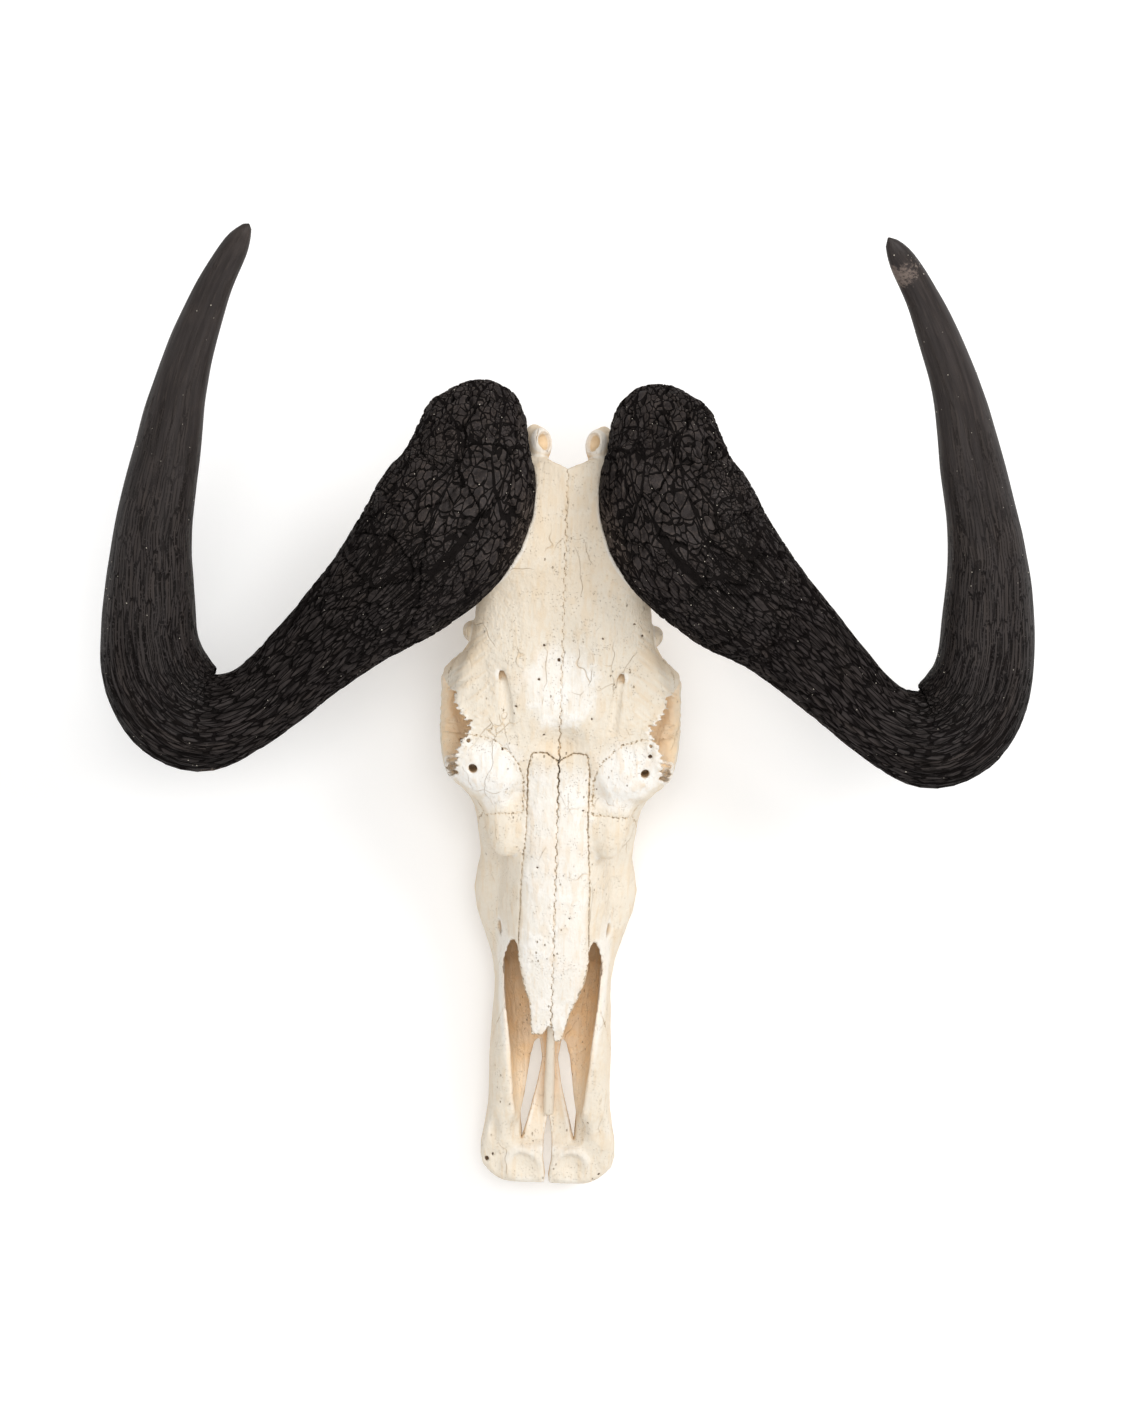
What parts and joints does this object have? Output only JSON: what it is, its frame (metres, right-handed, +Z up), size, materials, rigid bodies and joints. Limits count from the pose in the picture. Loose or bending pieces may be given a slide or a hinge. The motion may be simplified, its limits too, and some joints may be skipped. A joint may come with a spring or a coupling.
{
  "type": "black wildebeest skull",
  "caption": "Life-size skull of a black wildebeest bull with broad horn bosses and hooked horns, without its lower jaw, lying on its cheek teeth.",
  "frame": {"origin": "under the middle of the box round the whole skull, on the surface it rests on", "axes": "+Z up, -Y towards the muzzle, +X the animal's left"},
  "size_m": [0.5356, 0.5398, 0.3038],
  "materials": {
    "bone": "dry, sun-bleached ivory bone, satin, with fine pores, brown suture lines and ochre stains in the hollows",
    "inner_bone": "thin tan bone inside the nose, matt",
    "horn": "near-black horn, cracked and matt on the boss, finely streaked and satin towards the tips"
  },
  "bodies": {
    "root": {"braincase": "bone", "frontal_left": "bone", "frontal_right": "bone", "lacrimal_left": "bone", "lacrimal_right": "bone", "maxilla_left": "bone", "maxilla_right": "bone", "nasal_left": "bone", "nasal_right": "bone", "occipital": "bone", "premaxilla_left": "bone", "premaxilla_right": "bone", "zygomatic_left": "bone", "zygomatic_right": "bone", "vomer": "inner_bone", "horn_left": "horn", "horn_right": "horn"}
  },
  "joints": []
}
